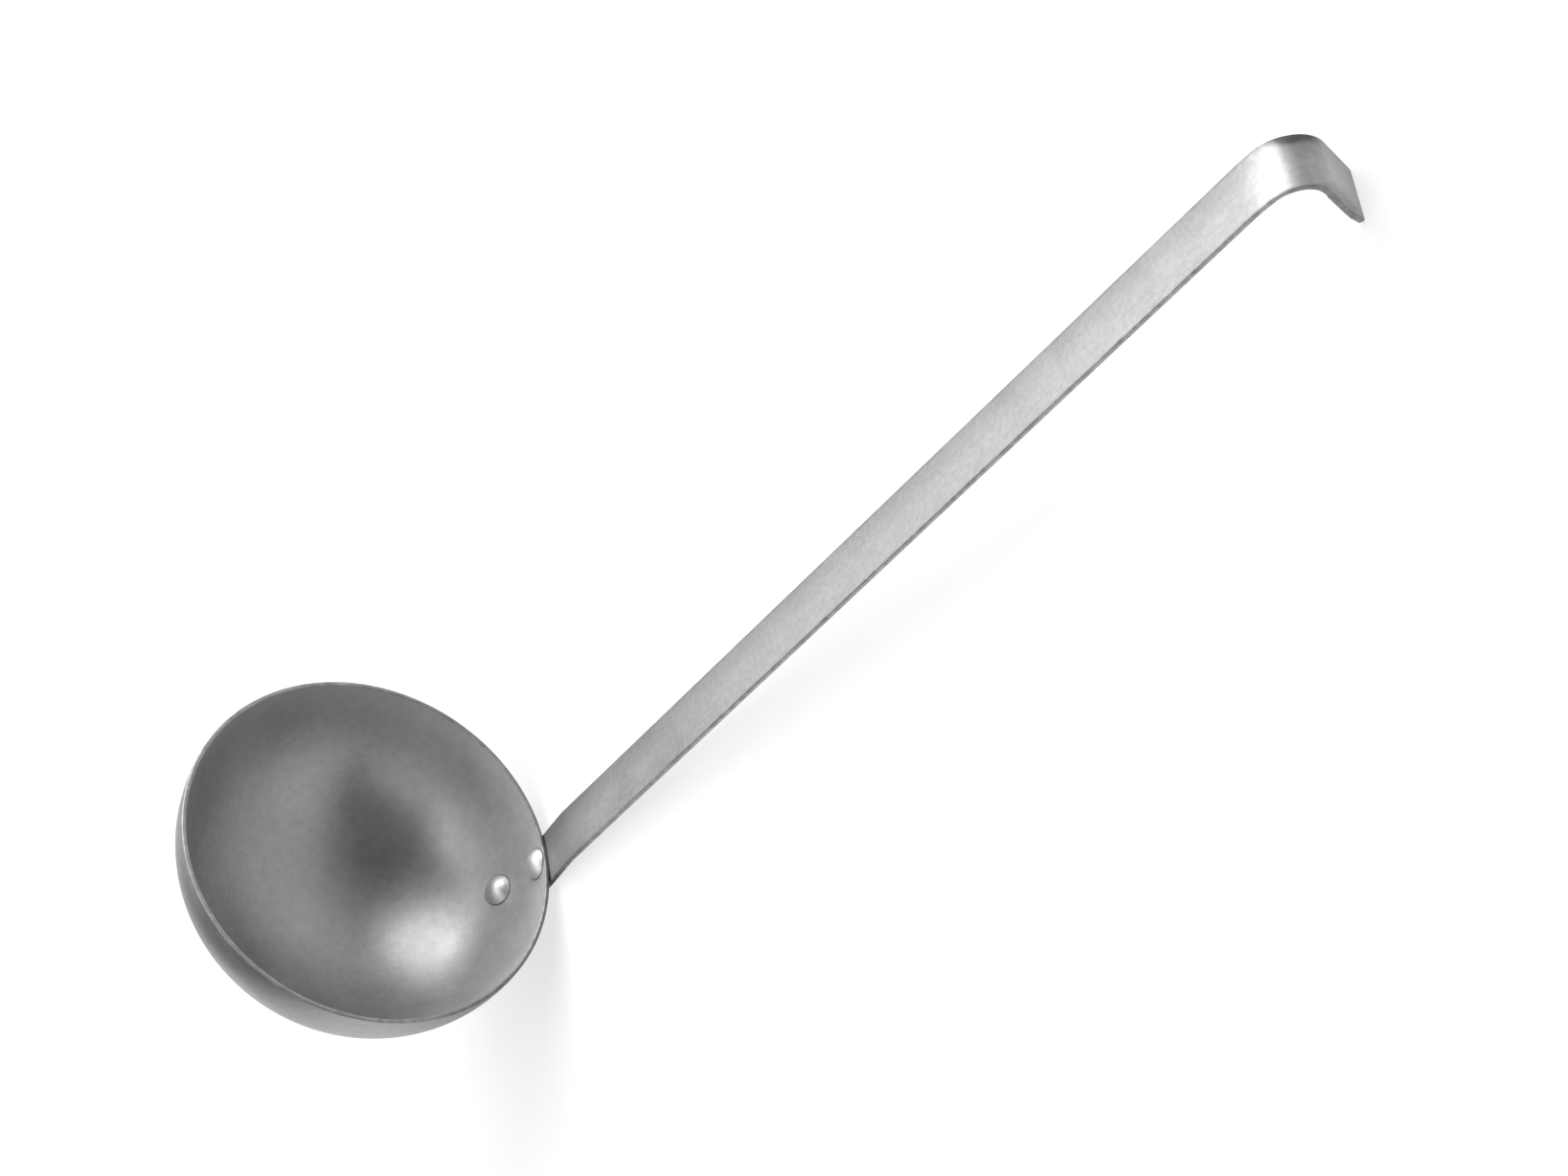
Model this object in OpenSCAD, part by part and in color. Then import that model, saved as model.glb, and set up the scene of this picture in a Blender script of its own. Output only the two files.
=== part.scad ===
// Kitchen ladle: a pressed steel bowl and a bent strap handle, held together by two solid rivets.
// The ladle lies on its back, on the strap's seat and the tip of the hook. Units are millimetres.
// +X runs from the bowl towards the hook, +Y across the strap and +Z up.

/* [Bowl] */
// Outside diameter of the bowl at its rim
bowl_outside_d = 120; // [112:1:150]
// Outside depth of the bowl, from the rim to its lowest point
bowl_depth = 51; // [48:0.5:58]
// Radius of the bowl's side outside, seen from the side, as a share of the depth
side_share = 0.91; // [0.75:0.01:0.93]
// Thickness of the bowl's sheet
bowl_wall = 1.4; // [1.1:0.1:2]
// Rounding of the two edges of the rim
rim_round = 0.45; // [0.2:0.05:0.5]

/* [Strap handle] */
// Width of the strap
strap_w = 17; // [14:0.5:22]
// Thickness of the strap
strap_t = 1.7; // [1.4:0.1:2.4]
// Rounding of the strap's long edges
strap_edge_r = 0.4; // [0.2:0.05:0.6]
// How much larger the radius of the strap's lower end is than half the strap's width
low_end_extra_r = 0.5; // [0.3:0.1:2]
// Angle below the rim at which the strap leaves the bowl's side
seat_top_angle = 2; // [1:0.5:5]
// Length of strap between the seat on the bowl and the slight bend above the rim
neck_length = 14; // [8:1:30]
// Inner radius of the slight bend above the rim
lean_bend_r = 30; // [15:1:60]
// Lean of the handle away from the bowl's axis
handle_lean = 8.1; // [6:0.1:14]
// Length of the straight part of the handle
handle_straight = 352.5; // [240:0.5:420]

/* [Hanging hook] */
// Inner radius of the gentle bend that leads into the hook
ease_bend_r = 68; // [40:1:100]
// Angle of that gentle bend
ease_angle = 6; // [2:0.5:10]
// Straight length between the gentle bend and the hook
ease_run = 2; // [0.5:0.5:6]
// Inner radius of the hook
hook_inner_r = 9; // [7:0.5:14]
// Angle of the hook's bend
hook_angle = 110; // [109:1:140]
// Length of the straight end of the hook
hook_end_length = 17; // [10:0.5:25]
// Radius of the two corners at the tip of the hook
hook_corner_r = 1.4; // [0.6:0.1:4]

/* [Rivets] */
// Distance from the rim to the upper rivet, along the outside of the bowl
upper_rivet_drop = 5.4; // [5.2:0.1:10]
// Distance between the two rivets, along the outside of the bowl
rivet_pitch = 20.2; // [14:0.1:26]
// Diameter of the domed rivet heads inside the bowl
head_d = 9.9; // [7:0.1:10.2]
// Height of the domed rivet heads
head_h = 2.8; // [1.6:0.1:3.6]
// Diameter of the rivet shanks
shank_d = 5; // [4:0.1:6]
// Diameter of the flush rivet tails at the back of the strap
tail_d = 7.6; // [6.6:0.1:9]
// Depth of the countersink that holds each tail
tail_depth = 1; // [0.6:0.1:1.2]

/* [Clearances] */
// Gap between two pieces where one seats on the other
seat_gap = 0.04; // [0.02:0.01:0.1]
// Gap all round a rivet in its hole
shank_gap = 0.06; // [0.03:0.01:0.15]

/* [Hidden] */

fine_fn = 200;   // segments of the large rounds
small_fn = 64;   // segments of the rivets and bends
edge_fn = 24;    // segments of the small edge rounds
reach = bowl_outside_d;   // a length that is sure to pass right through a wall
deg_per_rad = 180 / PI;
weld = 0.1;   // overlap of each straight stretch of strap with the bends beside it
weld_inset = 0.01;   // how far a straight stretch stays inside the surface of those bends

// The bowl's section outside: a side arc that starts upright at the rim, and a flatter bottom arc.
// The centre of the bottom arc lies on the bowl's axis, and the two arcs meet without a corner.
bowl_r = bowl_outside_d / 2;
arc_depth = bowl_depth - rim_round;
side_radius = side_share * arc_depth;
side_x = bowl_r - side_radius;
side_sag = arc_depth - side_radius;
bottom_rise = (side_x * side_x - side_sag * side_sag) / (2 * side_sag);
bottom_radius = arc_depth + bottom_rise;
join_angle = atan2(bottom_rise, side_x);   // angle below the rim at which the arcs meet
side_centre = [side_x, 0, -rim_round];
bottom_centre = [0, 0, bottom_rise - rim_round];

function wall_centre(a) = a <= join_angle ? side_centre : bottom_centre;
function wall_radius(a) = a <= join_angle ? side_radius : bottom_radius;

// The angle below the rim of a place that is a given distance down the outside of the bowl
side_arc_length = side_radius * join_angle / deg_per_rad;
function angle_at(drop) = drop - rim_round <= side_arc_length
    ? (drop - rim_round) / side_radius * deg_per_rad
    : join_angle + (drop - rim_round - side_arc_length) / bottom_radius * deg_per_rad;
upper_angle = angle_at(upper_rivet_drop);
lower_angle = angle_at(upper_rivet_drop + rivet_pitch);
tang_angle = angle_at(upper_rivet_drop + rivet_pitch + strap_w);   // past the strap's round end

// The strap's front face is followed from the seat to the hook. Headings are measured from the
// bowl's axis towards the back, and each point is where one stretch ends and the next begins.
function along(h) = [sin(h), 0, cos(h)];
function to_back(h) = [cos(h), 0, -sin(h)];
seat_heading = seat_top_angle;
hook_in_heading = handle_lean + ease_angle;
tip_heading = hook_in_heading + hook_angle;
neck_start = wall_centre(seat_heading) + (wall_radius(seat_heading) + seat_gap) * to_back(seat_heading);
neck_end = neck_start + neck_length * along(seat_heading);
lean_centre = neck_end + (lean_bend_r + strap_t) * to_back(seat_heading);
straight_start = lean_centre - (lean_bend_r + strap_t) * to_back(handle_lean);
straight_end = straight_start + handle_straight * along(handle_lean);
ease_centre = straight_end + (ease_bend_r + strap_t) * to_back(handle_lean);
ease_end = ease_centre - (ease_bend_r + strap_t) * to_back(hook_in_heading);
hook_start = ease_end + ease_run * along(hook_in_heading);
hook_centre = hook_start + (hook_inner_r + strap_t) * to_back(hook_in_heading);
hook_end = hook_centre - (hook_inner_r + strap_t) * to_back(tip_heading);
tip = hook_end + hook_end_length * along(tip_heading);

// How the ladle lies: the surface under it touches the back of the strap, where that follows the
// bowl's side, and the tip of the hook. lay_angle is the angle between the bowl's axis and that
// surface.
back_radius = side_radius + seat_gap + strap_t;
tip_from_side = tip - side_centre;
lay_angle = acos(back_radius / norm(tip_from_side)) - atan2(tip_from_side[2], tip_from_side[0]);
lay_down_dir = to_back(lay_angle);
lay_along_dir = along(lay_angle);
lay_height = side_centre * lay_down_dir + back_radius;
bowl_far_x = bottom_centre * lay_along_dir - bottom_radius;
hook_far_x = hook_centre * lay_along_dir + hook_inner_r + strap_t;
quarter_turn = 90;

module lie_down() {
    translate([-(bowl_far_x + hook_far_x) / 2, 0, lay_height])
        rotate([0, quarter_turn - lay_angle, 0])
            children();
}

// Puts a piece on the bowl's wall, with its own +X pointing straight out of the bowl
module on_wall(a) {
    translate(wall_centre(a)) rotate([0, a, 0]) children();
}

// A round bar along +X, from x1 to x2, and a cone of the same kind
module bar(r, x1, x2) {
    translate([x1, 0, 0]) rotate([0, quarter_turn, 0]) cylinder(r = r, h = x2 - x1, $fn = small_fn);
}
module cone(r1, r2, x1, x2) {
    translate([x1, 0, 0]) rotate([0, quarter_turn, 0])
        cylinder(r1 = r1, r2 = r2, h = x2 - x1, $fn = small_fn);
}

// Half of the section of everything inside the bowl's outside, drawn in by a distance
module bowl_inside_section(inset) {
    difference() {
        intersection() {
            translate([0, bottom_centre[2]]) circle(r = bottom_radius - inset, $fn = fine_fn);
            union() {
                translate([side_x, side_centre[2]]) circle(r = side_radius - inset, $fn = fine_fn);
                polygon([[0, bottom_centre[2]],
                         [reach * cos(join_angle), bottom_centre[2] - reach * sin(join_angle)],
                         [0, -2 * reach]]);
            }
        }
        translate([-2 * reach, -2 * reach]) square([2 * reach, 4 * reach]);
        translate([-reach, -rim_round]) square([3 * reach, 2 * reach]);
    }
}

module rim_section() {
    inner = bowl_r - bowl_wall;
    for (x = [inner + rim_round, bowl_r - rim_round])
        translate([x, -rim_round]) circle(r = rim_round, $fn = edge_fn);
    translate([inner + rim_round, -rim_round]) square([bowl_wall - 2 * rim_round, rim_round]);
}

module rivet_hole(a) {
    on_wall(a) bar(shank_d / 2 + shank_gap, wall_radius(a) - reach / 2, wall_radius(a) + reach / 2);
}

module bowl() {
    color([0.55, 0.55, 0.55])
    lie_down()
    difference() {
        rotate_extrude($fn = fine_fn) {
            difference() {
                bowl_inside_section(0);
                bowl_inside_section(bowl_wall);
            }
            rim_section();
        }
        rivet_hole(upper_angle);
        rivet_hole(lower_angle);
    }
}

// The strap's section, with its thickness along X and its width along Y, drawn in by a distance
module strap_section(inset) {
    flat_w = strap_w - 2 * strap_edge_r;
    flat_t = strap_t - 2 * strap_edge_r;
    square([strap_t - 2 * inset, flat_w], center = true);
    square([flat_t, strap_w - 2 * inset], center = true);
    for (x = [-1, 1], y = [-1, 1])
        translate([x * flat_t / 2, y * flat_w / 2]) circle(r = strap_edge_r - inset, $fn = edge_fn);
}

// A straight stretch of strap from a point on its front face
module strap_line(start, heading, length) {
    translate(start) rotate([0, heading, 0]) translate([strap_t / 2, 0, -weld])
        linear_extrude(height = length + 2 * weld) strap_section(weld_inset);
}

// A bend of strap about a centre, with its middle at radius r, between two directions of the bend
module strap_arc(centre, r, from_angle, turn, inset = 0) {
    translate(centre) rotate([quarter_turn, 0, 0]) rotate([0, 0, from_angle])
        rotate_extrude(angle = turn, $fn = fine_fn) translate([r, 0]) strap_section(inset);
}

// A bend towards the back, between two headings
module strap_bend(centre, inner_r, heading_1, heading_2) {
    strap_arc(centre, inner_r + strap_t / 2, 2 * quarter_turn - heading_2, heading_2 - heading_1);
}

// The strap along the bowl's wall, between two angles below the rim
module strap_seat(a_top, a_low) {
    side_r = side_radius + seat_gap + strap_t / 2;
    bottom_r = bottom_radius + seat_gap + strap_t / 2;
    side_low = min(a_low, join_angle);
    strap_arc(side_centre, side_r, -side_low, side_low - a_top);
    weld_angle = weld / bottom_r * deg_per_rad;
    if (a_low > join_angle)
        strap_arc(bottom_centre, bottom_r, -a_low, a_low - join_angle + weld_angle, weld_inset);
}

// The countersink for a rivet's tail, carried on past the strap's back
module tail_sink(a) {
    back = wall_radius(a) + seat_gap + strap_t;
    on_wall(a) cone(shank_d / 2 + shank_gap, tail_d - shank_d / 2 + shank_gap,
                    back - tail_depth, back + tail_depth);
}

module handle() {
    color([0.75, 0.75, 0.75])
    lie_down()
    difference() {
        union() {
            strap_seat(seat_heading, tang_angle);
            strap_line(neck_start, seat_heading, neck_length);
            strap_bend(lean_centre, lean_bend_r, seat_heading, handle_lean);
            strap_line(straight_start, handle_lean, handle_straight);
            strap_bend(ease_centre, ease_bend_r, handle_lean, hook_in_heading);
            strap_line(ease_end, hook_in_heading, ease_run);
            strap_bend(hook_centre, hook_inner_r, hook_in_heading, tip_heading);
            intersection() {
                strap_line(hook_end, tip_heading, hook_end_length);
                tip_outline();
            }
        }
        round_end_cutter();
        rivet_hole(upper_angle);
        rivet_hole(lower_angle);
        tail_sink(upper_angle);
        tail_sink(lower_angle);
    }
}

// Takes the corners off the strap's lower end, to leave a round end about the lower rivet
module round_end_cutter() {
    on_wall(lower_angle) difference() {
        translate([0, -strap_w, -2 * strap_w]) cube([reach, 2 * strap_w, 2 * strap_w]);
        bar(strap_w / 2 + low_end_extra_r, -weld, reach + weld);
    }
}

// The outline of the hook's end, seen square on: two rounded corners
module tip_outline() {
    r = hook_corner_r;
    half_w = strap_w / 2 + weld_inset;
    translate(hook_end) rotate([0, tip_heading, 0]) rotate([0, quarter_turn, 0]) rotate([0, 0, quarter_turn])
        translate([0, 0, -strap_t]) linear_extrude(height = 3 * strap_t) {
            translate([-half_w, -r]) square([2 * half_w, hook_end_length]);
            translate([r - half_w, 0]) square([2 * (half_w - r), hook_end_length]);
            for (x = [r - half_w, half_w - r])
                translate([x, hook_end_length - r]) circle(r = r, $fn = small_fn);
        }
}

// A solid rivet: a domed head that seats on the inside of the bowl, a shank through the bowl and the
// strap, and a tail that fills the countersink and follows the strap's back
module rivet(a) {
    outer_r = wall_radius(a);
    inner_r = outer_r - bowl_wall;
    head_r = head_d / 2;
    head_base = inner_r - sqrt(inner_r * inner_r - head_r * head_r);   // rise of the wall across the head
    dome_r = (head_r * head_r + head_h * head_h) / (2 * head_h);
    dome_top = inner_r - head_base - head_h;
    back = outer_r + seat_gap + strap_t;
    color([0.82, 0.82, 0.82])
    lie_down() {
        intersection() {
            on_wall(a) union() {
                intersection() {
                    translate([dome_top + dome_r, 0, 0]) sphere(r = dome_r, $fn = small_fn);
                    bar(head_r, dome_top - head_h, inner_r - head_base);
                }
                bar(head_r, inner_r - head_base, outer_r);
            }
            rotate_extrude($fn = fine_fn) head_seat_section();
        }
        intersection() {
            on_wall(a) union() {
                bar(shank_d / 2, inner_r - head_base - seat_gap, back + strap_t);
                cone(shank_d / 2, tail_d / 2, back - tail_depth, back);
                bar(tail_d / 2, back, back + strap_t);
            }
            on_wall(a) rotate([quarter_turn, 0, 0])
                cylinder(r = back, h = strap_w, center = true, $fn = fine_fn);
        }
    }
}

// What lies inside the bowl's wall, a seat's gap away from it, carried up past the rim
module head_seat_section() {
    bowl_inside_section(bowl_wall + seat_gap);
    translate([0, -rim_round]) square([bowl_r - bowl_wall - seat_gap, head_d]);
}

module upper_rivet() {
    rivet(upper_angle);
}

module lower_rivet() {
    rivet(lower_angle);
}

bowl();
handle();
upper_rivet();
lower_rivet();
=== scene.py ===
import math

import bpy
from mathutils import Matrix, Vector


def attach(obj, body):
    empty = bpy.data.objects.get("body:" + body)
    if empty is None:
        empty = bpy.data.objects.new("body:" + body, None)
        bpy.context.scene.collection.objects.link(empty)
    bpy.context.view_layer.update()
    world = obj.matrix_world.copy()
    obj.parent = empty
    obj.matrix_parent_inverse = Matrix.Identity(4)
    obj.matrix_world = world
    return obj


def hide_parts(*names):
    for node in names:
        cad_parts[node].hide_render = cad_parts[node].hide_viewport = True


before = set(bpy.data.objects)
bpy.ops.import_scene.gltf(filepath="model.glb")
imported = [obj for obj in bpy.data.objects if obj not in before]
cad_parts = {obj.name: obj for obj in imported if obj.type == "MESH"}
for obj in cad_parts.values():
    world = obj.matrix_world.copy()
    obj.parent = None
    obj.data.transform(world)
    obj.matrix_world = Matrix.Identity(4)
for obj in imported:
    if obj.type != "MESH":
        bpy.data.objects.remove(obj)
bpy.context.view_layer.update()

mm = 0.001


def makeMesh(name, points, faces, flatFaces=()):
    mesh = bpy.data.meshes.new(name)
    mesh.from_pydata([tuple(p) for p in points], [], faces)
    for polygon in mesh.polygons:
        polygon.use_smooth = polygon.index not in flatFaces
    piece = bpy.data.objects.new(name, mesh)
    bpy.context.scene.collection.objects.link(piece)
    return piece


def setVectors(piece, name, vectors, domain="POINT"):
    attribute = piece.data.attributes.new(name, "FLOAT_VECTOR", domain)
    attribute.data.foreach_set("vector", [c for v in vectors for c in v])


def setNumbers(piece, name, numbers):
    attribute = piece.data.attributes.new(name, "FLOAT", "POINT")
    attribute.data.foreach_set("value", numbers)


# The ladle's shape is worked out in the frame of its rim:
# x runs from the bowl's axis to the handle, y across the strap, z out of the mouth.
bowlShape = {
    "radius": 60 * mm,
    "depth": 51 * mm,
    "sideShare": 0.91,  # radius of the side's arc as a share of the depth
    "wall": 1.4 * mm,
    "rimRound": 0.45 * mm,
    "around": 192,
    "down": 56,
    "rimSteps": 6,  # in each of the rim's two rounds
    "grainRadius": 45 * mm,  # where the round grain has its written length
    "dullDepth": 36 * mm,  # how far below the rim the inside stays duller
    "darkReflectionTurns": (62, 88),  # degrees from the handle between which the painted dark reflection on the outside fades
}
strapShape = {
    "width": 17 * mm,
    "thick": 1.7 * mm,
    "edgeRound": 0.4 * mm,
    "seatGap": 0.04 * mm,
    "seatTop": math.radians(2),
    "neckLength": 14 * mm,
    "leanRadius": 30 * mm,
    "lean": math.radians(8.1),
    "straightLength": 352.5 * mm,
    "easeRadius": 68 * mm,
    "easeAngle": math.radians(6),
    "easeRun": 2 * mm,
    "hookRadius": 9 * mm,
    "hookAngle": math.radians(110),
    "endLength": 17 * mm,
    "cornerRadius": 0.7 * mm,
    "lowEndExtra": 0.5 * mm,
    "leastFlat": 0.2 * mm,  # half the flat that is left of the face at the round end
}
rivetShape = {
    "upperDrop": 5.4 * mm,
    "pitch": 20.2 * mm,
    "headRadius": 4.95 * mm,
    "headHeight": 2.8 * mm,
    "shankRadius": 2.5 * mm,
    "tailRadius": 3.8 * mm,
    "tailDepth": 1 * mm,
    "tailProud": 0.03 * mm,  # keeps the tail's end in front of the strap's back
    "around": 64,
    "domeSteps": 16,
    "tailSteps": 4,
    "underHead": 0.6,  # where the head's hidden underside meets the bowl's wall, a share of its radius
    "underLift": 0.02 * mm,
    "ringWidths": (0.15, 0.45),  # painted shade ring round each head and tail where it meets the sheet, from its edge, mm
}


def along(heading):
    return Vector((math.sin(heading), 0, math.cos(heading)))


def toBack(heading):
    return Vector((math.cos(heading), 0, -math.sin(heading)))


# The bowl's section: a side arc that starts upright at the rim and a flatter bottom arc.
wall = bowlShape["wall"]
arcDepth = bowlShape["depth"] - bowlShape["rimRound"]
sideRadius = bowlShape["sideShare"] * arcDepth
sideX = bowlShape["radius"] - sideRadius
sideSag = arcDepth - sideRadius
bottomRise = (sideX ** 2 - sideSag ** 2) / (2 * sideSag)
bottomRadius = arcDepth + bottomRise
joinAngle = math.atan2(bottomRise, sideX)
sideCentre = Vector((sideX, 0, -bowlShape["rimRound"]))
bottomCentre = Vector((0, 0, bottomRise - bowlShape["rimRound"]))


def wallCentre(angle):
    return sideCentre if angle <= joinAngle else bottomCentre


def wallRadius(angle):
    return sideRadius if angle <= joinAngle else bottomRadius


def angleAt(drop):
    return (drop - bowlShape["rimRound"]) / sideRadius


upperAngle = angleAt(rivetShape["upperDrop"])
lowerAngle = angleAt(rivetShape["upperDrop"] + rivetShape["pitch"])

# The strap's front face, from the seat on the bowl to the tip of the hook.
thick = strapShape["thick"]
seatRadius = sideRadius + strapShape["seatGap"]
lowEndRadius = strapShape["width"] / 2 + strapShape["lowEndExtra"]
hookIn = strapShape["lean"] + strapShape["easeAngle"]
tipHeading = hookIn + strapShape["hookAngle"]
neckStart = sideCentre + seatRadius * toBack(strapShape["seatTop"])
neckEnd = neckStart + strapShape["neckLength"] * along(strapShape["seatTop"])
leanCentre = neckEnd + (strapShape["leanRadius"] + thick) * toBack(strapShape["seatTop"])
straightStart = leanCentre - (strapShape["leanRadius"] + thick) * toBack(strapShape["lean"])
straightEnd = straightStart + strapShape["straightLength"] * along(strapShape["lean"])
easeCentre = straightEnd + (strapShape["easeRadius"] + thick) * toBack(strapShape["lean"])
easeEnd = easeCentre - (strapShape["easeRadius"] + thick) * toBack(hookIn)
hookStart = easeEnd + strapShape["easeRun"] * along(hookIn)
hookCentre = hookStart + (strapShape["hookRadius"] + thick) * toBack(hookIn)
hookEnd = hookCentre - (strapShape["hookRadius"] + thick) * toBack(tipHeading)
tip = hookEnd + strapShape["endLength"] * along(tipHeading)

# How the ladle lies: on the back of the strap's seat and the tip of the hook.
backRadius = seatRadius + thick
tipFromSide = tip - sideCentre
layAngle = math.acos(backRadius / tipFromSide.length) - math.atan2(tipFromSide.z, tipFromSide.x)
layDown = toBack(layAngle)
layAlong = along(layAngle)
layHeight = sideCentre.dot(layDown) + backRadius
bowlFarX = bottomCentre.dot(layAlong) - bottomRadius
hookFarX = hookCentre.dot(layAlong) + strapShape["hookRadius"] + thick
layMatrix = Matrix.Translation((-(bowlFarX + hookFarX) / 2, 0, layHeight)) @ Matrix.Rotation(
    math.radians(90) - layAngle, 4, "Y")


def lieDown(points):
    return [layMatrix @ Vector(p) for p in points]


print("shape worked out: lies at", round(math.degrees(layAngle), 3), "degrees")

cameraView = {
    "place": (0.7748, -0.5925, 0.7205),
    "aim": (0.0022, 0, 0.0282),
    "roll": 77.37,
    "lens": 95.33,
    "sensor": 36,
    "clip": (0.05, 20),
}


def makeCamera():
    data = bpy.data.cameras.new("photoCamera")
    data.lens = cameraView["lens"]
    data.sensor_width = cameraView["sensor"]
    data.clip_start, data.clip_end = cameraView["clip"]
    camera = bpy.data.objects.new("photoCamera", data)
    bpy.context.scene.collection.objects.link(camera)
    place = Vector(cameraView["place"])
    look = Vector(cameraView["aim"]) - place
    turn = look.to_track_quat("-Z", "Y").to_matrix().to_4x4()
    roll = Matrix.Rotation(-math.radians(cameraView["roll"]), 4, "Z")
    camera.matrix_world = Matrix.Translation(place) @ turn @ roll
    bpy.context.scene.camera = camera


makeCamera()
print("camera placed")


def bowlProfile():
    count, rimRound = bowlShape["down"], bowlShape["rimRound"]

    def arcPoints(inset):
        line = []
        for i in range(count + 1):
            angle = math.radians(90) * i / count
            line.append(wallCentre(angle) + (wallRadius(angle) - inset) * toBack(angle))
        line[-1] = Vector((0, 0, line[-1].z))
        return line

    def rimPoint(centreX, angle):
        return Vector((centreX + rimRound * math.cos(angle), 0, -rimRound + rimRound * math.sin(angle)))

    outside = list(reversed(arcPoints(0)))
    inside = arcPoints(wall)
    steps = bowlShape["rimSteps"]
    rim = [rimPoint(bowlShape["radius"] - rimRound, math.radians(90) * i / steps) for i in range(1, steps + 1)]
    rim += [rimPoint(bowlShape["radius"] - wall + rimRound, math.radians(90) * (1 + i / steps)) for i in range(steps)]
    return outside + rim + inside, range(len(outside), len(outside) + len(rim))


def makeBowl():
    profile, rimRows = bowlProfile()
    around = bowlShape["around"]
    rows = len(profile)
    drops = [0.0]  # distance along the section, in millimetres
    for first, second in zip(profile, profile[1:]):
        drops.append(drops[-1] + (second - first).length / mm)
    points, edge, dull, paintedShade = [], [], [], []
    darkReflectionFull, darkReflectionEnd = bowlShape["darkReflectionTurns"]
    for r, p in enumerate(profile):
        for k in range(around if 0 < r < rows - 1 else 1):
            turn = 2 * math.pi * k / around
            points.append(Vector((p.x * math.cos(turn), p.x * math.sin(turn), p.z)))
            edge.append(1.0 if r in rimRows else 0.0)
            dull.append(max(1 + p.z / bowlShape["dullDepth"], 0) if r > rimRows[-1] else 0.0)
            # painted shade: a dark reflection painted on the outside near the handle
            fromHandle = math.degrees(min(turn, 2 * math.pi - turn))
            darkReflection = min(max((darkReflectionEnd - fromHandle) / (darkReflectionEnd - darkReflectionFull), 0), 1)
            paintedShade.append(darkReflection if 0 < r < rimRows[len(rimRows) // 2] else 0.0)

    def pointIndex(r, k):
        if r == 0:
            return 0
        return len(points) - 1 if r == rows - 1 else 1 + (r - 1) * around + k % around

    faces, grain = [], []
    for r in range(rows - 1):
        for k in range(around):
            # at both poles a face has three corners, the pole's own halfway round
            corners = [(r, k), (r, k + 1), (r + 1, k + 1), (r + 1, k)]
            if r == 0:
                corners = [(0, k + 0.5), (1, k + 1), (1, k)]
            elif r == rows - 2:
                corners = [(r, k), (r, k + 1), (r + 1, k + 0.5)]
            faces.append(tuple(pointIndex(row, turn) for row, turn in corners))
            for row, turn in corners:
                grain.append((2 * math.pi * turn / around * bowlShape["grainRadius"] / mm, drops[row], 0))
    piece = makeMesh("ladleBowl", lieDown(points), faces)
    setVectors(piece, "grainPlace", grain, "CORNER")
    setVectors(piece, "solidPlace", [p / mm for p in points])
    setNumbers(piece, "edgeMask", edge)
    setNumbers(piece, "dullMask", dull)
    setNumbers(piece, "paintedShadeMask", paintedShade)
    return piece


# How many steps the strap's mesh takes along each part and round its section.
strapSteps = {
    "lowEnd": 14,
    "seat": 46,
    "neck": 6,
    "lean": 6,
    "straight": 60,
    "ease": 6,
    "easeRun": 1,
    "hook": 48,
    "end": 14,
    "corner": 16,
    "face": 26,
    "edge": 4,
}
strapFinish = {
    "edgeLineWidth": 0.5 * mm,  # the line beside each edge of a face, with wear in its roughness and painted shade in its tone
    "edgeLineMost": 0.25,  # its most, as a share of half the face, at the narrow round end
    "sideBand": 0.1 * mm,  # how far in from its outermost line a side reaches
    "sideGrainShift": 7.0,  # keeps the grain of the faces and sides apart
    # Rows of (distance in mm, painted shade, dull): from the start of the neck, and from the start of the hook's
    # bend. The painted shade darkens the strap where it leaves the bowl and over the hook's bend.
    "heelTones": ((0, 0.5, 1), (16, 0.46, 0.92), (34, 0.2, 0.75), (60, 0.03, 0.35), (90, 0, 0)),
    "bendTones": ((4.6, 0, 0), (7.2, 0.39, 1), (15, 0.41, 1), (19, 0.24, 0.6), (38, 0.24, 0.6)),
    # Rows of (mm from the start of the neck, painted shade of the front, painted shade of the sides), for the crevice
    # where the strap meets the bowl's rim.
    "jointShade": ((-8, 1, 0), (0, 1, 1), (0.7, 0, 1), (22, 0, 0)),
    "farShade": 0.3,  # painted shade at the far edge
    "farShadeStart": -0.1,  # where it starts to rise, as a share of the half width from the middle
}
# How far each edge of the hook is bent back, in a strip beside it that gets painted shade too.
# Rows of curl: mm from the start of the hook's bend, amount in mm, width of the strip in mm.
nearEdge = {
    "curl": ((11, 0, 0.3), (14, 0.2, 1.2), (17, 0.75, 2.1), (20.5, 1.28, 3), (25, 1.15, 3.6), (30, 1.06, 3.8),
             (33.5, 0.87, 3), (35.5, 0.42, 1.8), (36.5, 0.17, 0.9), (37.8, 0, 0.4)),
    "power": 1,  # 1 leaves a crease, more turns smoothly
    # how much painted shade the curled strip gets
    "paintedShade": 0.2,
    "paintedShadeRise": 3,  # how fast the strip's painted shade rises from its inner line
}
farEdge = {
    "curl": ((-2, 0, 3), (3, 0.4, 3.5), (9, 0.6, 4), (15, 0.3, 3.5), (20, 0, 3)),
    "power": 1.8,
    # how much painted shade the curled strip gets
    "paintedShade": 0.75,
    "paintedShadeRise": 1.5,
}


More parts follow.
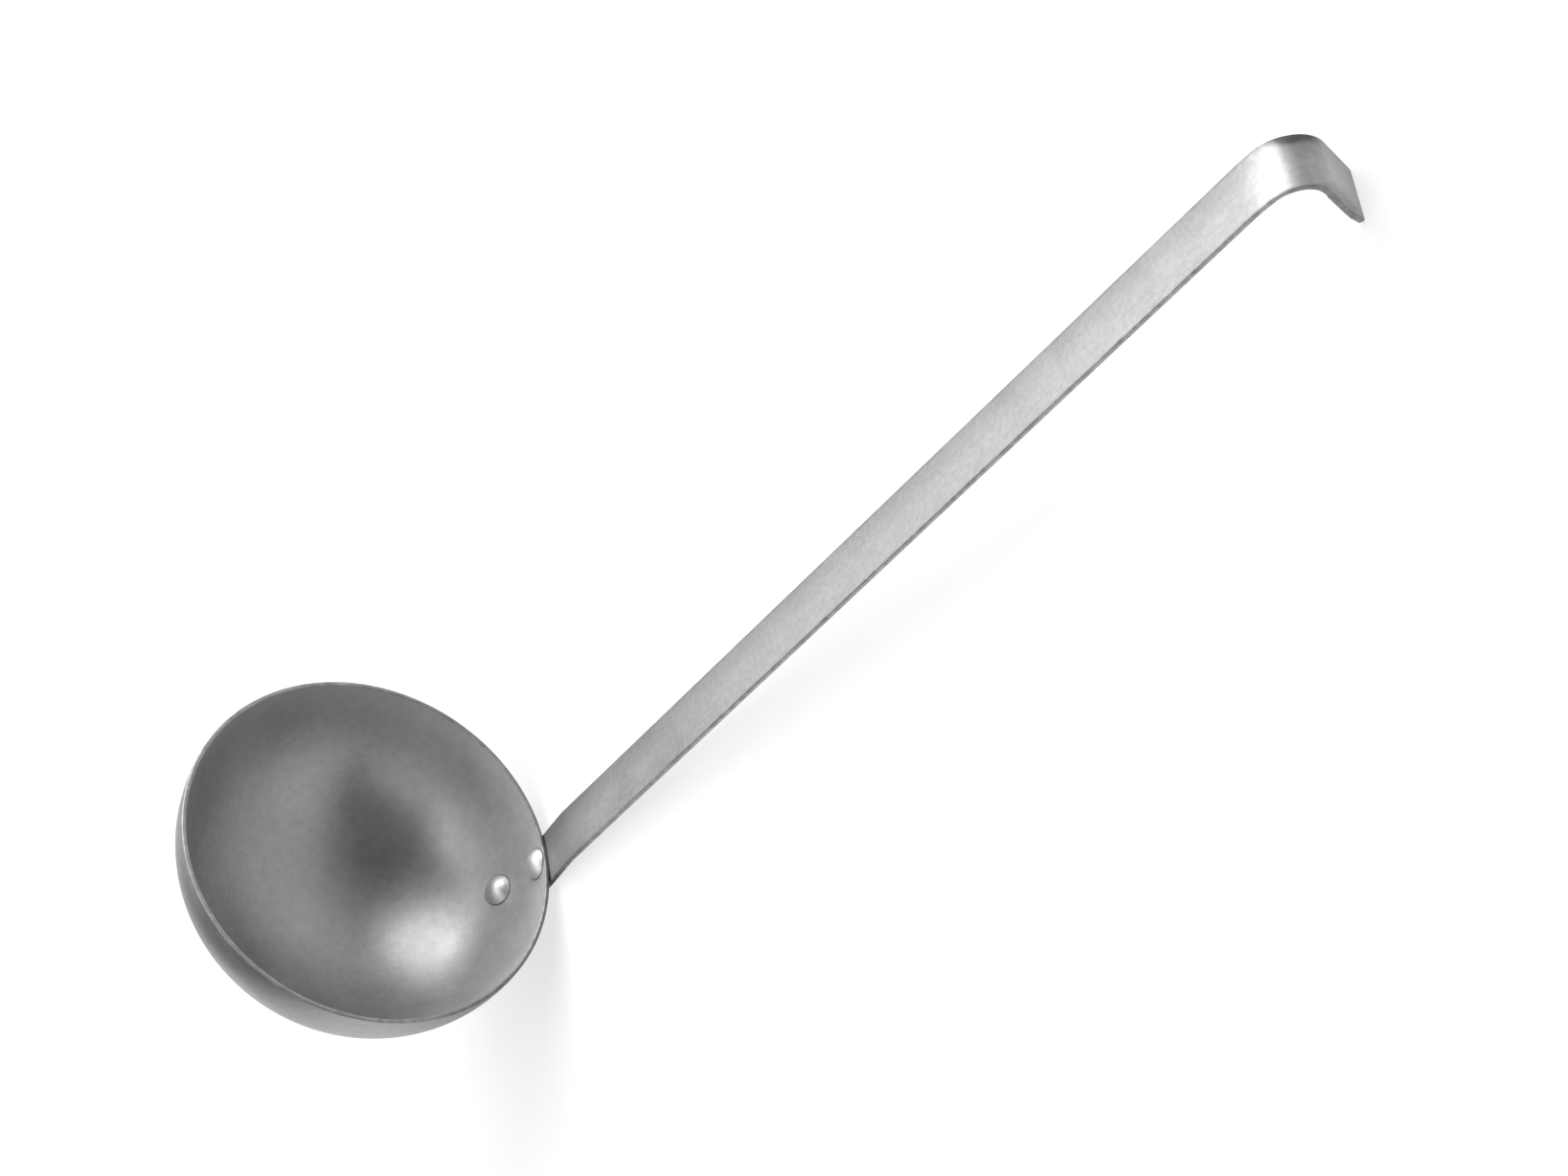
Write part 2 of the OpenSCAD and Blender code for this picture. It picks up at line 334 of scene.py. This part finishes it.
def strapStations():
    stations = []  # (front point, heading, distance along)
    length = 0

    def add(point, heading, step):
        nonlocal length
        length += step
        stations.append((point, heading, length))

    def straight(start, heading, size, count):
        for i in range(1, count + 1):
            add(start + size * i / count * along(heading), heading, size / count)

    def bend(centre, radius, first, second, count):
        for i in range(1, count + 1):
            h = first + (second - first) * i / count
            add(centre - radius * toBack(h), h, radius * (second - first) / count)

    # the seat, with its stations closer where the end rounds
    low = lowerAngle + lowEndRadius / seatRadius
    flatSeat = seatRadius * (low - strapShape["seatTop"]) - lowEndRadius
    endSteps, seatSteps = strapSteps["lowEnd"], strapSteps["seat"]
    places = [lowEndRadius * (1 - math.cos(math.radians(90) * i / endSteps)) for i in range(endSteps)]
    places += [lowEndRadius + flatSeat * i / seatSteps for i in range(seatSteps + 1)]
    for place in places:
        heading = low - place / seatRadius
        add(sideCentre + seatRadius * toBack(heading), heading, place - length)
    straight(neckStart, strapShape["seatTop"], strapShape["neckLength"], strapSteps["neck"])
    bend(leanCentre, strapShape["leanRadius"] + thick, strapShape["seatTop"], strapShape["lean"], strapSteps["lean"])
    straight(straightStart, strapShape["lean"], strapShape["straightLength"], strapSteps["straight"])
    bend(easeCentre, strapShape["easeRadius"] + thick, strapShape["lean"], hookIn, strapSteps["ease"])
    straight(easeEnd, hookIn, strapShape["easeRun"], strapSteps["easeRun"])
    bend(hookCentre, strapShape["hookRadius"] + thick, hookIn, tipHeading, strapSteps["hook"])
    corner = strapShape["cornerRadius"]
    straight(hookEnd, tipHeading, strapShape["endLength"] - corner, strapSteps["end"])
    previous = 0
    for i in range(1, strapSteps["corner"] + 1):
        d = corner * math.sin(math.radians(90) * i / strapSteps["corner"])
        add(hookEnd + (strapShape["endLength"] - corner + d) * along(tipHeading), tipHeading, d - previous)
        previous = d
    return stations


def halfWidth(fromLow, fromTip):
    half = strapShape["width"] / 2
    if fromLow < lowEndRadius:
        half = min(half, math.sqrt(max(lowEndRadius ** 2 - (lowEndRadius - fromLow) ** 2, 0)))
    corner = strapShape["cornerRadius"]
    if fromTip < corner:
        half = min(half, strapShape["width"] / 2 - corner + math.sqrt(max(corner ** 2 - (corner - fromTip) ** 2, 0)))
    return max(half, strapShape["edgeRound"] + strapShape["leastFlat"])


def strapRing(half):
    # points round the section as (across, through, on an edge): front face, a side, back, the other side
    edge, steps, cornerSteps = strapShape["edgeRound"], strapSteps["face"], strapSteps["edge"]
    flat = half - edge
    beside = min(strapFinish["edgeLineWidth"], flat * strapFinish["edgeLineMost"])
    face = [-flat] + [(-1 + 2 * i / steps) * (flat - beside) for i in range(steps + 1)]

    def corner(side, middle, start, count):
        for i in range(count):
            a = math.radians(start + 90 * i / cornerSteps)
            ring.append((side * flat + edge * math.cos(a), middle + edge * math.sin(a), 1))

    ring = [(y, 0, 1 if y == -flat else 0) for y in face]
    corner(1, edge, -90, cornerSteps + 1)
    corner(1, thick - edge, 0, cornerSteps + 1)
    ring += [(-y, thick, 0) for y in face[1:]]
    corner(-1, thick - edge, 90, cornerSteps + 1)
    corner(-1, edge, 180, cornerSteps)
    return ring


def readCurve(rows, place):
    # straight lines between the rows of a table, flat beyond its ends
    place = min(max(place, rows[0][0]), rows[-1][0])
    for first, second in zip(rows, rows[1:]):
        if place <= second[0]:
            part = (place - first[0]) / (second[0] - first[0])
            return [a + (b - a) * part for a, b in zip(first[1:], second[1:])]


def edgeCurl(fromHook, across, half):
    # how far a point is bent back and how much painted shade it gets
    side = nearEdge if across < 0 else farEdge
    amount, strip = readCurve(side["curl"], fromHook / mm)
    inStrip = max((abs(across) - half) / mm / strip + 1, 0)
    share = amount / max(row[1] for row in side["curl"])
    return amount * mm * inStrip ** side["power"], side["paintedShade"] * share * min(inStrip * side["paintedShadeRise"], 1)


def makeHandle():
    stations = strapStations()
    total = stations[-1][2]
    hookPlace = total - strapShape["endLength"] - strapShape["hookAngle"] * (strapShape["hookRadius"] + thick)
    heelPlace = lowEndRadius + seatRadius * (lowerAngle - strapShape["seatTop"])
    shadeStart = strapFinish["farShadeStart"]
    points, grain, edges, dull, paintedShade, faces = [], [], [], [], [], []
    for front, heading, distance in stations:
        half = halfWidth(distance, total - distance)
        # painted shade where the strap leaves the bowl and over the hook's bend
        bendShade, bendDull = readCurve(strapFinish["bendTones"], (distance - hookPlace) / mm)
        heelShade, heelDull = readCurve(strapFinish["heelTones"], (distance - heelPlace) / mm)
        frontShade, sideShade = readCurve(strapFinish["jointShade"], (distance - heelPlace) / mm)
        ring = strapRing(half)
        for across, through, onEdge in ring:
            curl, curlShade = edgeCurl(distance - hookPlace, across, half)
            p = front + (through + curl) * toBack(heading)
            points.append(Vector((p.x, across, p.z)))
            grain.append((distance / mm, across / mm, through / mm * strapFinish["sideGrainShift"]))
            edges.append(onEdge)
            dull.append(max(heelDull, bendDull))
            onSide = abs(across) > half - strapFinish["sideBand"]
            # painted shade in the crevice where the strap meets the bowl's rim, on the front and sides
            jointShade = sideShade if onSide else frontShade if through == 0 else 0.0
            # painted shade across the face, darker towards the far edge
            crossShade = strapFinish["farShade"] * max(across / half - shadeStart, 0) / (1 - shadeStart)
            paintedShade.append(min(max(jointShade, heelShade + bendShade + curlShade + crossShade), 1))
    ringSize = len(ring)
    for s in range(len(stations) - 1):
        for k in range(ringSize):
            n = (k + 1) % ringSize
            a, b = s * ringSize, (s + 1) * ringSize
            faces.append((a + k, b + k, b + n, a + n))
    faces.append(tuple(range(ringSize)))
    faces.append(tuple(reversed(range((len(stations) - 1) * ringSize, len(stations) * ringSize))))
    piece = makeMesh("ladleHandle", lieDown(points), faces, flatFaces={len(faces) - 2, len(faces) - 1})
    setVectors(piece, "grainPlace", grain)
    setVectors(piece, "solidPlace", [p / mm for p in points])
    setVectors(piece, "acrossGrain", [(0, 1, 0)] * len(points))
    setNumbers(piece, "edgeMask", edges)
    setNumbers(piece, "dullMask", dull)
    setNumbers(piece, "paintedShadeMask", paintedShade)
    return piece


def rivetProfile(inner, back):
    # (radius, distance outwards) from the top of the head to the middle of the tail's end
    shape = rivetShape
    head = shape["headRadius"]
    domeRadius = (head ** 2 + shape["headHeight"] ** 2) / (2 * shape["headHeight"])
    seat = inner - math.sqrt(inner ** 2 - head ** 2)
    domeTop = inner - seat - shape["headHeight"]
    half = math.asin(head / domeRadius)
    profile = []
    for i in range(shape["domeSteps"] + 1):
        a = half * i / shape["domeSteps"]
        profile.append((domeRadius * math.sin(a), domeTop + domeRadius * (1 - math.cos(a))))
    profile += [(head * shape["underHead"], inner - shape["underLift"]), (shape["shankRadius"], inner),
                (shape["shankRadius"], back - shape["tailDepth"])]
    steps = shape["tailSteps"]
    return profile + [(shape["tailRadius"] * (1 - i / steps), back) for i in range(steps + 1)]


def makeRivet(name, angle):
    around = rivetShape["around"]
    outer = wallRadius(angle)
    back = outer + strapShape["seatGap"] + thick + rivetShape["tailProud"]
    profile = rivetProfile(outer - wall, back)
    headRow = rivetShape["domeSteps"]
    points, faces, paintedShade = [Vector((profile[0][1], 0, 0))], [], [0.0]
    for row, (r, x) in enumerate(profile[1:-1], 1):
        for k in range(around):
            turn = 2 * math.pi * k / around
            y, z = r * math.cos(turn), r * math.sin(turn)
            fall = back - math.sqrt(back ** 2 - z ** 2) if x >= back else 0  # the tail's end follows the strap's bend
            points.append(Vector((x - fall, y, z)))
            # painted shade round the rim of the head, where it meets the bowl
            paintedShade.append(1.0 if row == headRow else 0.0)
    points.append(Vector((profile[-1][1], 0, 0)))
    paintedShade.append(0.0)
    last, rings, tailEnd = len(points) - 1, len(profile) - 2, set()
    for k in range(around):
        n = (k + 1) % around
        faces.append((0, 1 + n, 1 + k))
        for r in range(rings - 1):
            a, b = 1 + r * around, 1 + (r + 1) * around
            if profile[r + 1][1] == back:
                tailEnd.add(len(faces))
            faces.append((a + k, a + n, b + n, b + k))
        a = 1 + (rings - 1) * around
        tailEnd.add(len(faces))
        faces.append((a + k, a + n, last))
    turn = Matrix.Translation(wallCentre(angle)) @ Matrix.Rotation(angle, 4, "Y")
    placed = [turn @ p for p in points]
    piece = makeMesh(name, lieDown(placed), faces, flatFaces=tailEnd)
    setVectors(piece, "grainPlace", [(p.y / mm, p.z / mm, p.x / mm) for p in points])
    setVectors(piece, "solidPlace", [p / mm for p in placed])
    setNumbers(piece, "edgeMask", [0.0] * len(points))
    setNumbers(piece, "dullMask", [0.0] * len(points))
    setNumbers(piece, "paintedShadeMask", paintedShade)
    return piece


bowl = makeBowl()
handle = makeHandle()
upperRivet = makeRivet("upperRivet", upperAngle)
lowerRivet = makeRivet("lowerRivet", lowerAngle)
for piece, node, slotName in ((bowl, "bowl", "bowl_steel"), (handle, "handle", "handle_steel"),
                              (upperRivet, "upper_rivet", "rivet_steel"), (lowerRivet, "lower_rivet", "rivet_steel")):
    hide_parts(node)
    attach(piece, "root")
print("pieces made")


def addNode(tree, kind, **settings):
    node = tree.nodes.new(kind)
    for key, value in settings.items():
        setattr(node, key, value)
    return node


def feed(tree, socket, value):
    if isinstance(value, bpy.types.NodeSocket):
        tree.links.new(value, socket)
    else:
        socket.default_value = value


def calc(tree, operation, first, second):
    node = addNode(tree, "ShaderNodeMath", operation=operation)
    feed(tree, node.inputs[0], first)
    feed(tree, node.inputs[1], second)
    return node.outputs[0]


def addShare(tree, value, mask, share):
    return calc(tree, "ADD", value, calc(tree, "MULTIPLY", mask, share))


def spread(tree, value, fromRange, toRange, smooth=False):
    node = addNode(tree, "ShaderNodeMapRange", clamp=True)
    if smooth:
        node.interpolation_type = "SMOOTHSTEP"
    for socket, number in zip(node.inputs, (value, *fromRange, *toRange)):
        feed(tree, socket, number)
    return node.outputs[0]


def scaled(tree, vector, x, y, z):
    factors = addNode(tree, "ShaderNodeCombineXYZ")
    for socket, value in zip(factors.inputs, (x, y, z)):
        feed(tree, socket, value)
    node = addNode(tree, "ShaderNodeVectorMath", operation="MULTIPLY")
    tree.links.new(vector, node.inputs[0])
    tree.links.new(factors.outputs[0], node.inputs[1])
    return node.outputs[0]


def noiseAt(tree, vector, detail, roughness=0.5):
    node = addNode(tree, "ShaderNodeTexNoise")
    tree.links.new(vector, node.inputs["Vector"])
    node.inputs["Scale"].default_value = 1
    node.inputs["Detail"].default_value = detail
    node.inputs["Roughness"].default_value = roughness
    return node.outputs["Fac"]


noiseRange = (0.3, 0.7)  # where most of a noise lies
signed = (-1.0, 1.0)
vectorSocket, numberSocket = "NodeSocketVector", "NodeSocketFloat"


def newGroup(name, inputs, outputs):
    group = bpy.data.node_groups.new(name, "ShaderNodeTree")
    for label, kind in inputs.items():
        group.interface.new_socket(label, in_out="INPUT", socket_type=kind)
    for label in outputs:
        group.interface.new_socket(label, in_out="OUTPUT", socket_type=numberSocket)
    return group, group.nodes.new("NodeGroupInput").outputs, group.nodes.new("NodeGroupOutput").inputs


# Streaks of a brushed finish. Place is in millimetres: along the streaks, across them, and depth.
grainPattern = {
    "coarse": {"detail": 3, "roughness": 0.65, "share": 0.65},
    "fine": {"detail": 1, "share": 0.35, "along": 2.3, "across": 3.1},  # times finer than the coarse streaks
}


def makeGrainGroup():
    group, given, out = newGroup("brushedGrain", {
        "Place": vectorSocket, "Length": numberSocket, "Width": numberSocket}, ("Height", "Streaks"))
    coarseLook, fineLook = grainPattern["coarse"], grainPattern["fine"]
    long = calc(group, "DIVIDE", 1.0, given["Length"])
    wide = calc(group, "DIVIDE", 1.0, given["Width"])
    coarse = noiseAt(group, scaled(group, given["Place"], long, wide, wide), coarseLook["detail"],
                     coarseLook["roughness"])
    fineWide = calc(group, "MULTIPLY", wide, fineLook["across"])
    fine = noiseAt(group, scaled(group, given["Place"], calc(group, "MULTIPLY", long, fineLook["along"]), fineWide,
                                 fineWide), fineLook["detail"])
    height = addShare(group, calc(group, "MULTIPLY", coarse, coarseLook["share"]), fine, fineLook["share"])
    group.links.new(height, out["Height"])
    group.links.new(spread(group, height, noiseRange, signed), out["Streaks"])
    return group


# Sparse thin scratches, broken into short lengths.
scratchPattern = {
    "rise": 0.08,  # how far above its share a line is at full strength
    "patchScales": (0.11, 0.23, 0.23),  # of the patches that break the lines, per mm
    "patchRange": (0.48, 0.62),
}


def makeScratchGroup():
    group, given, out = newGroup("fineScratches", {
        "Place": vectorSocket, "Length": numberSocket, "Width": numberSocket, "Share": numberSocket}, ("Mask",))
    long = calc(group, "DIVIDE", 1.0, given["Length"])
    wide = calc(group, "DIVIDE", 1.0, given["Width"])
    lines = noiseAt(group, scaled(group, given["Place"], long, wide, wide), 0)
    patches = noiseAt(group, scaled(group, given["Place"], *scratchPattern["patchScales"]), 1)
    full = calc(group, "ADD", given["Share"], scratchPattern["rise"])
    mask = calc(group, "MULTIPLY", spread(group, lines, (given["Share"], full), (0.0, 1.0), True),
                spread(group, patches, scratchPattern["patchRange"], (0.0, 1.0), True))
    group.links.new(mask, out["Mask"])
    return group


# Slow change of tone over the sheet, with a finer mottling.
driftPattern = {"patchDetail": 2, "mottleFiner": 9.0, "mottleDetail": 4, "mottleRoughness": 0.6}


def makeDriftGroup():
    group, given, out = newGroup("toneDrift", {
        "Place": vectorSocket, "Size": numberSocket}, ("Patches", "Mottling"))
    large = calc(group, "DIVIDE", 1.0, given["Size"])
    small = calc(group, "MULTIPLY", large, driftPattern["mottleFiner"])
    patches = noiseAt(group, scaled(group, given["Place"], large, large, large), driftPattern["patchDetail"])
    mottling = noiseAt(group, scaled(group, given["Place"], small, small, small), driftPattern["mottleDetail"],
                       driftPattern["mottleRoughness"])
    group.links.new(spread(group, patches, noiseRange, signed), out["Patches"])
    group.links.new(spread(group, mottling, noiseRange, signed), out["Mottling"])
    return group


# Uneven wear along the edges, which also paints shade there through the edge tone. Edge is 1 on an edge and 0 away
# from it.
wearAndShadePattern = {"detail": 3, "roughness": 0.6, "fromRange": (0.35, 0.65), "toRange": (0.25, 1.0)}


def makeWearAndShadeGroup():
    group, given, out = newGroup("edgeWearAndShade", {
        "Place": vectorSocket, "Edge": numberSocket, "Size": numberSocket}, ("Mask",))
    size = calc(group, "DIVIDE", 1.0, given["Size"])
    noise = noiseAt(group, scaled(group, given["Place"], size, size, size), wearAndShadePattern["detail"],
                    wearAndShadePattern["roughness"])
    uneven = spread(group, noise, wearAndShadePattern["fromRange"], wearAndShadePattern["toRange"])
    group.links.new(calc(group, "MULTIPLY", given["Edge"], uneven), out["Mask"])
    return group


grainGroup = makeGrainGroup()
scratchGroup = makeScratchGroup()
driftGroup = makeDriftGroup()
wearAndShadeGroup = makeWearAndShadeGroup()


def useGroup(tree, group, **values):
    node = addNode(tree, "ShaderNodeGroup", node_tree=group)
    for label, value in values.items():
        feed(tree, node.inputs[label], value)
    return node.outputs


def readPlace(tree, name):
    return addNode(tree, "ShaderNodeAttribute", attribute_name=name).outputs


def noRings(tree, place):
    return []


def darkRings(tree, place, depth, radius):
    # painted shade: a thin dark ring round each rivet where it meets the sheet, at a distance outwards from the
    # bowl's outside
    masks = []
    for angle in (upperAngle, lowerAngle):
        reach = addNode(tree, "ShaderNodeVectorMath", operation="DISTANCE")
        tree.links.new(place, reach.inputs[0])
        reach.inputs[1].default_value = (wallCentre(angle) + (wallRadius(angle) + depth) * toBack(angle)) / mm
        ringRange = [radius / mm + width for width in rivetShape["ringWidths"]]
        masks.append(spread(tree, reach.outputs["Value"], ringRange, (1.0, 0.0), True))
    return masks


def headRings(tree, place):
    return darkRings(tree, place, -wall, rivetShape["headRadius"])


def tailRings(tree, place):
    return darkRings(tree, place, strapShape["seatGap"] + thick, rivetShape["tailRadius"])


def makeSteel(name, look, rings=noRings):
    material = bpy.data.materials.new(name)
    material.use_nodes = True
    tree = material.node_tree
    shader = tree.nodes["Principled BSDF"]
    shader.inputs["Anisotropic"].default_value = look["anisotropy"]
    if look["anisotropy"]:
        tree.links.new(readPlace(tree, "acrossGrain")["Vector"], shader.inputs["Tangent"])
    grainPlace = readPlace(tree, "grainPlace")["Vector"]
    solidPlace = readPlace(tree, "solidPlace")["Vector"]
    edge = readPlace(tree, "edgeMask")["Fac"]
    dull = readPlace(tree, "dullMask")["Fac"]
    paintedShade = readPlace(tree, "paintedShadeMask")["Fac"]
    grain = useGroup(tree, grainGroup, Place=grainPlace, Length=look["grainLength"], Width=look["grainWidth"])
    scratches = useGroup(tree, scratchGroup, Place=grainPlace, Length=look["scratchLength"],
                         Width=look["scratchWidth"], Share=look["scratchShare"])["Mask"]
    drift = useGroup(tree, driftGroup, Place=solidPlace, Size=look["patchSize"])
    wearAndShade = useGroup(tree, wearAndShadeGroup, Place=solidPlace, Edge=edge, Size=look["wearAndShadeSize"])["Mask"]
    # the rings round the rivets add to the painted shade
    for mask in rings(tree, solidPlace):
        paintedShade = calc(tree, "MAXIMUM", paintedShade, mask)

    # the negative edge tone is painted shade along the edges
    tone = look["tone"]
    for mask, share in ((drift["Patches"], "patchTone"), (drift["Mottling"], "mottleTone"),
                        (grain["Streaks"], "grainTone"), (scratches, "scratchTone"), (wearAndShade, "edgeShadeTone"),
                        (dull, "dullTone")):
        tone = addShare(tree, tone, mask, look[share])
    # painted shade: the painted shade mask darkens the tone
    tone = calc(tree, "MULTIPLY", tone, addShare(tree, 1, paintedShade, -look["paintedShadeDark"]))
    colour = addNode(tree, "ShaderNodeCombineColor")
    for socket in colour.inputs:
        tree.links.new(tone, socket)
    tree.links.new(colour.outputs[0], shader.inputs["Base Color"])
    tree.links.new(addShare(tree, look["metallic"], dull, -look["dullMetallic"]), shader.inputs["Metallic"])

    rough = look["roughness"]
    for mask, share in ((grain["Streaks"], "grainRoughness"), (drift["Patches"], "patchRoughness"),
                        (wearAndShade, "wearRoughness"), (dull, "dullRoughness")):
        rough = addShare(tree, rough, mask, look[share])
    tree.links.new(rough, shader.inputs["Roughness"])

    height = addShare(tree, grain["Height"], scratches, -look["scratchDepth"])
    height = addShare(tree, height, drift["Mottling"], look["mottleDepth"])
    bump = addNode(tree, "ShaderNodeBump")
    bump.inputs["Strength"].default_value = 1
    bump.inputs["Distance"].default_value = look["grainDepth"]
    tree.links.new(height, bump.inputs["Height"])
    tree.links.new(bump.outputs["Normal"], shader.inputs["Normal"])
    return material


# Lengths and sizes are in mm, grainDepth in m.
# The negative edge tone paints shade along the edges, and the dark share is how far the painted shade mask darkens
# the tone.
bowlLook = {
    "tone": 0.41, "metallic": 0.84, "roughness": 0.43, "anisotropy": 0.0,
    "grainLength": 5.0, "grainWidth": 0.4, "grainTone": 0.055, "grainRoughness": 0.06, "grainDepth": 1.8e-5,
    "scratchLength": 4.0, "scratchWidth": 0.16, "scratchShare": 0.7, "scratchTone": 0.05, "scratchDepth": 0.4,
    "patchSize": 24.0, "patchTone": 0.025, "patchRoughness": 0.05, "mottleTone": 0.035, "mottleDepth": 0.3,
    "wearAndShadeSize": 3.0, "edgeShadeTone": -0.14, "wearRoughness": 0.1,
    "dullTone": 0.15, "dullMetallic": 0.55, "dullRoughness": 0.0, "paintedShadeDark": 0.45,
}
handleLook = {
    "tone": 0.525, "metallic": 0.85, "roughness": 0.42, "anisotropy": 0.5,
    "grainLength": 18.0, "grainWidth": 0.5, "grainTone": 0.06, "grainRoughness": 0.06, "grainDepth": 8e-6,
    "scratchLength": 9.0, "scratchWidth": 0.14, "scratchShare": 0.68, "scratchTone": 0.06, "scratchDepth": 0.5,
    "patchSize": 16.0, "patchTone": 0.03, "patchRoughness": 0.05, "mottleTone": 0.055, "mottleDepth": 0.6,
    "wearAndShadeSize": 4.0, "edgeShadeTone": -0.22, "wearRoughness": 0.05,
    "dullTone": 0.11, "dullMetallic": 0.38, "dullRoughness": 0.12, "paintedShadeDark": 0.85,
}
rivetLook = {
    "tone": 0.76, "metallic": 0.72, "roughness": 0.44, "anisotropy": 0.0,
    "grainLength": 1.0, "grainWidth": 0.5, "grainTone": 0.02, "grainRoughness": 0.03, "grainDepth": 6e-6,
    "scratchLength": 2.0, "scratchWidth": 0.2, "scratchShare": 0.7, "scratchTone": 0.03, "scratchDepth": 0.5,
    "patchSize": 5.0, "patchTone": 0.03, "patchRoughness": 0.04, "mottleTone": 0.02, "mottleDepth": 0.6,
    "wearAndShadeSize": 2.0, "edgeShadeTone": 0.0, "wearRoughness": 0.0,
    "dullTone": 0.0, "dullMetallic": 0.0, "dullRoughness": 0.0, "paintedShadeDark": 0.5,
}
bowl.data.materials.append(makeSteel("satinBowlSteel", bowlLook, headRings))
handle.data.materials.append(makeSteel("brushedStrapSteel", handleLook, tailRings))
rivetSteel = makeSteel("rivetSteel", rivetLook)
for piece in (upperRivet, lowerRivet):
    piece.data.materials.append(rivetSteel)
print("finishes made")

# Only the camera and reflections see the glow.
floorLook = {"half": 6.0, "tone": 0.28, "glow": 0.72}


def makeFloor():
    half = floorLook["half"]
    floor = makeMesh("paleFloor", [(-half, -half, 0), (half, -half, 0), (half, half, 0), (-half, half, 0)],
                     [(0, 1, 2, 3)], flatFaces={0})
    material = bpy.data.materials.new("paleFloor")
    material.use_nodes = True
    tree = material.node_tree
    shader = tree.nodes["Principled BSDF"]
    shader.inputs["Base Color"].default_value = (floorLook["tone"],) * 3 + (1,)
    shader.inputs["Roughness"].default_value = 1
    shader.inputs["Specular IOR Level"].default_value = 0
    shader.inputs["Emission Color"].default_value = (1, 1, 1, 1)
    path = addNode(tree, "ShaderNodeLightPath").outputs
    seen = calc(tree, "MAXIMUM", calc(tree, "MAXIMUM", path["Is Camera Ray"], path["Is Glossy Ray"]),
                path["Is Transmission Ray"])
    tree.links.new(calc(tree, "MULTIPLY", seen, floorLook["glow"]), shader.inputs["Emission Strength"])
    floor.data.materials.append(material)


# Where each lamp stands, the angles that it fills as seen from the ladle, and how bright its face is.
# Angles are in degrees, distances in metres.
lamps = {
    "keySoftbox": {"azimuth": 75, "elevation": 35, "distance": 2.5, "across": 58, "up": 25, "radiance": 6.2},
    "highSoftbox": {"azimuth": 103, "elevation": 56, "distance": 2.5, "across": 32, "up": 32, "radiance": 3.4},
    "fillSoftbox": {"azimuth": 58, "elevation": 55, "distance": 2.5, "across": 24, "up": 18, "radiance": 1.1},
    "sideSoftbox": {"azimuth": 140, "elevation": 38, "distance": 2.5, "across": 46, "up": 32, "radiance": 1.28},
    "topSoftbox": {"azimuth": 225, "elevation": 78, "distance": 2.0, "across": 55, "up": 55, "radiance": 1.9},
    "nearSoftbox": {"azimuth": 283, "elevation": 35, "distance": 2.5, "across": 35, "up": 35, "radiance": 1.1},
    "lowSoftbox": {"azimuth": 30, "elevation": 12, "distance": 2.5, "across": 24, "up": 16, "radiance": 0.4},
}
worldStrength = 0.06


def softLamp(name, place):
    distance = place["distance"]
    data = bpy.data.lights.new(name, "AREA")
    data.shape = "RECTANGLE"
    width, height = (2 * distance * math.tan(math.radians(place[side] / 2)) for side in ("across", "up"))
    data.size, data.size_y = width, height
    data.energy = place["radiance"] * math.pi * width * height
    lamp = bpy.data.objects.new(name, data)
    bpy.context.scene.collection.objects.link(lamp)
    a, e = math.radians(place["azimuth"]), math.radians(place["elevation"])
    away = Vector((math.cos(a) * math.cos(e), math.sin(a) * math.cos(e), math.sin(e)))
    lamp.matrix_world = Matrix.Translation(away * distance) @ away.to_track_quat("Z", "Y").to_matrix().to_4x4()


makeFloor()
for name, place in lamps.items():
    softLamp(name, place)
world = bpy.data.worlds.new("studio")
bpy.context.scene.world = world
world.use_nodes = True
world.node_tree.nodes["Background"].inputs["Color"].default_value = (1, 1, 1, 1)
world.node_tree.nodes["Background"].inputs["Strength"].default_value = worldStrength
print("floor and light made")

bpy.context.scene.view_settings.view_transform = "Standard"
